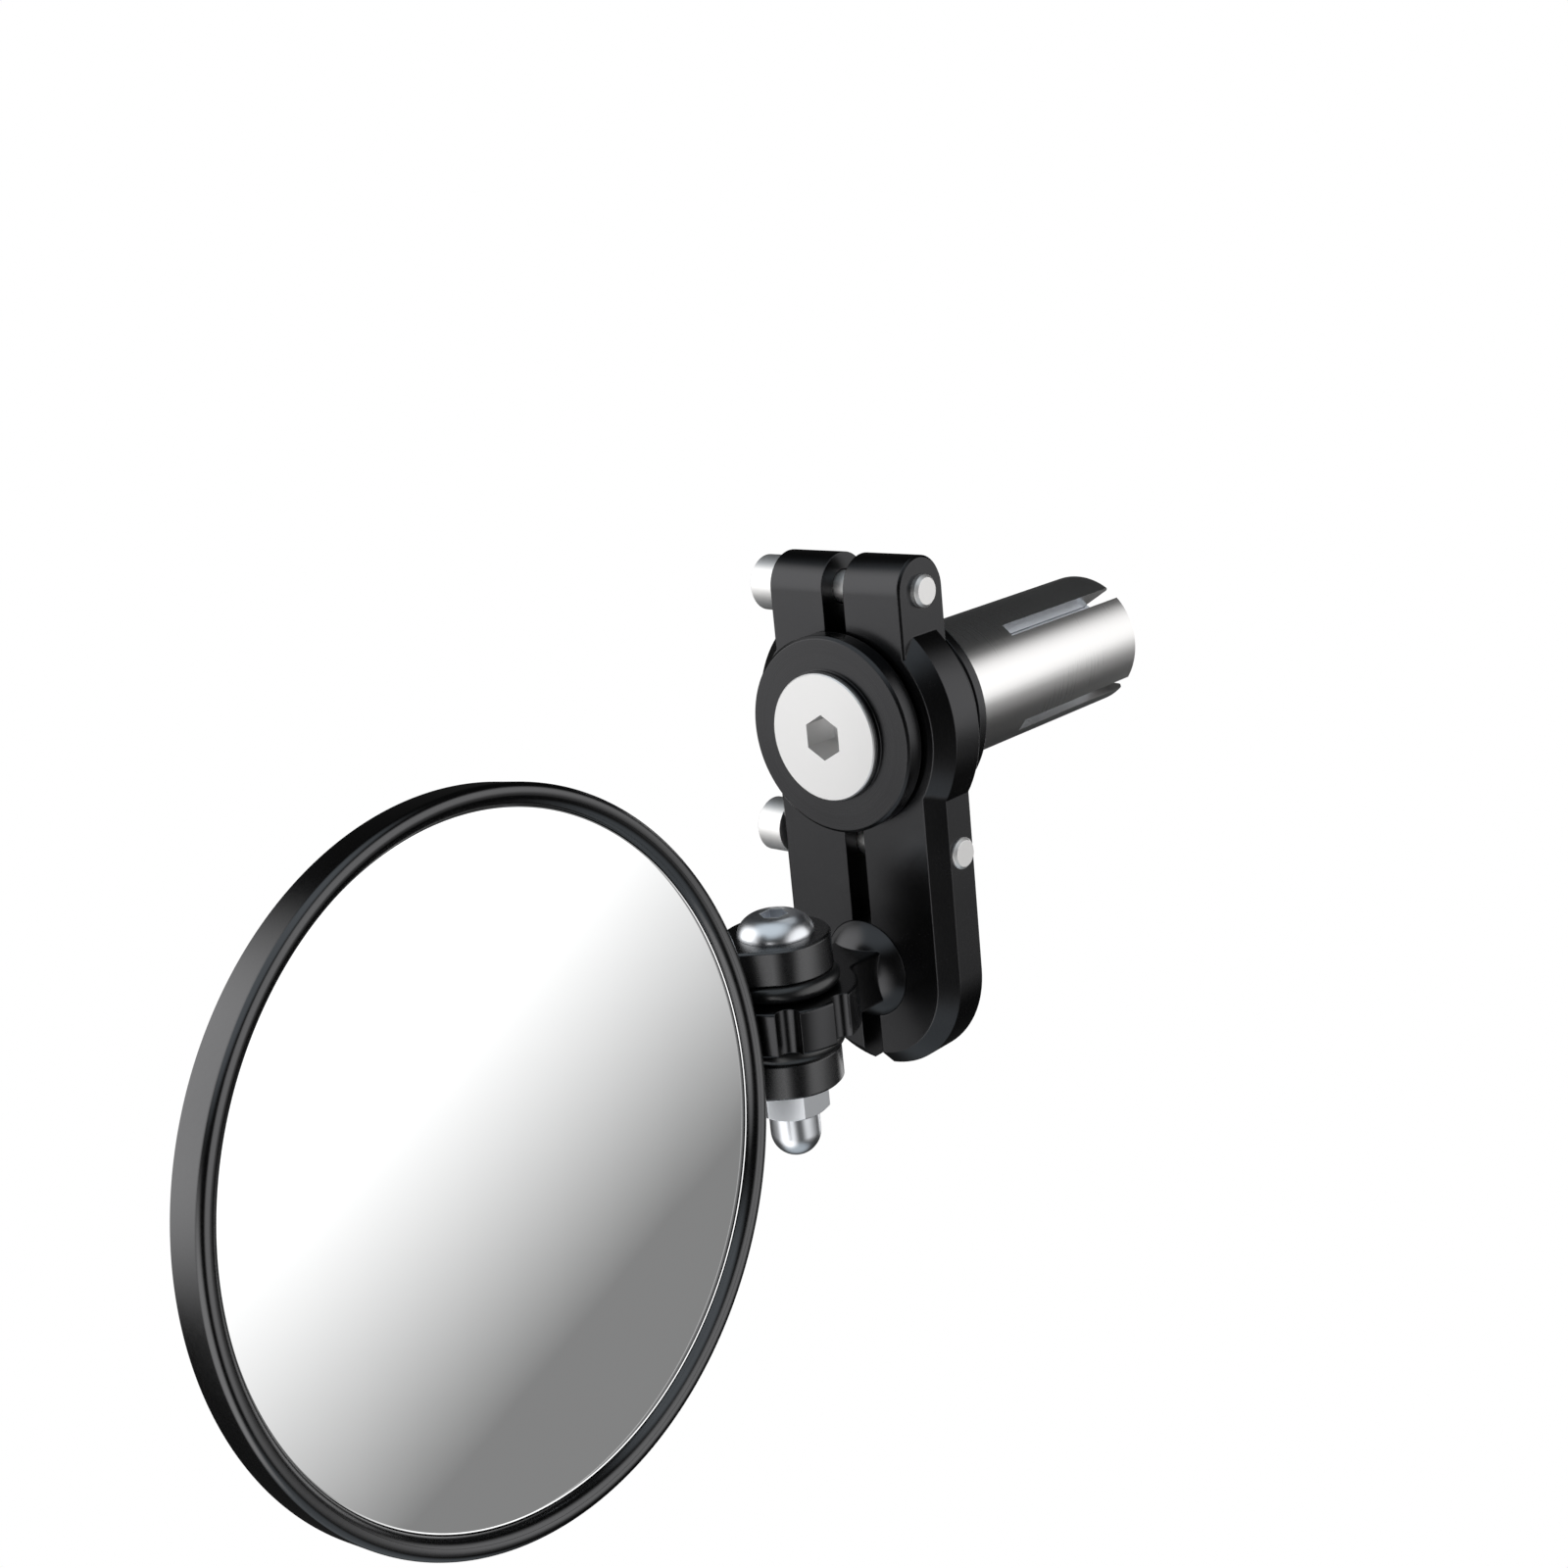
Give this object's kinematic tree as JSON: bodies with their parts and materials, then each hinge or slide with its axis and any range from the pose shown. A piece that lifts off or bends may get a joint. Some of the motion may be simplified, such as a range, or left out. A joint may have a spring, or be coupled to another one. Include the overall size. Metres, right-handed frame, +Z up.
{
  "type": "bar-end mirror",
  "caption": "Round rear-view mirror on a hinged knuckle and a split clamp, carried by an expanding plug that seats in the end of a handlebar.",
  "frame": {"origin": "on the handlebar's axis, in the face of the inner collar that seats against the end of the bar", "axes": "+X outboard along the handlebar's axis, +Y the way the mirror faces (the rider's side), +Z up when the arm hangs down"},
  "size_m": [0.156, 0.0331, 0.0893],
  "materials": {
    "black_anodised": "satin black anodised",
    "black_polymer": "smooth black acetal",
    "black_rubber": "soft black",
    "bolt_steel": "fine satin face",
    "bronze": "plain bearing bronze",
    "foam_tape": "foam adhesive pad",
    "mirror_silver": "polished",
    "screw_steel": "bright plated",
    "sleeve_alloy": "satin turned, bright",
    "zinc_steel": "plain washer"
  },
  "bodies": {
    "plug": {"expander_sleeve": "sleeve_alloy", "wedge_nut": "sleeve_alloy", "plug_bolt": "bolt_steel", "inner_collar": "black_anodised", "seat_washer": "zinc_steel", "outer_flange": "black_anodised"},
    "clamp": {"clamp_left": "black_anodised", "clamp_right": "black_anodised", "upper_clamp_screw": "screw_steel", "lower_clamp_screw": "screw_steel"},
    "knuckle": {"knuckle": "black_anodised", "pivot_bushing": "black_polymer", "pivot_screw": "screw_steel", "hinge_bush": "bronze"},
    "head": {"mirror_bracket": "black_anodised", "bracket_screws": "screw_steel", "hinge_screw": "screw_steel", "acorn_nut": "screw_steel", "upper_friction_ring": "black_rubber", "lower_friction_ring": "black_rubber", "mirror_housing": "black_anodised", "glass_pad": "foam_tape", "mirror_glass": "mirror_silver", "lens_ring": "black_rubber"}
  },
  "joints": [
    {"name": "clamp_turn", "type": "hinge", "parent": "plug", "child": "clamp", "pos_m": [0.00815, 0, 0], "axis": [1, 0, 0], "continuous": true},
    {"name": "knuckle_turn", "type": "hinge", "parent": "clamp", "child": "knuckle", "pos_m": [0.0068, 0, -0.0314], "axis": [1, 0, 0], "continuous": true},
    {"name": "mirror_swing", "type": "hinge", "parent": "knuckle", "child": "head", "pos_m": [0.0283, 0, -0.03075], "axis": [0, 0, 1], "range_deg": [-90, 90]}
  ]
}
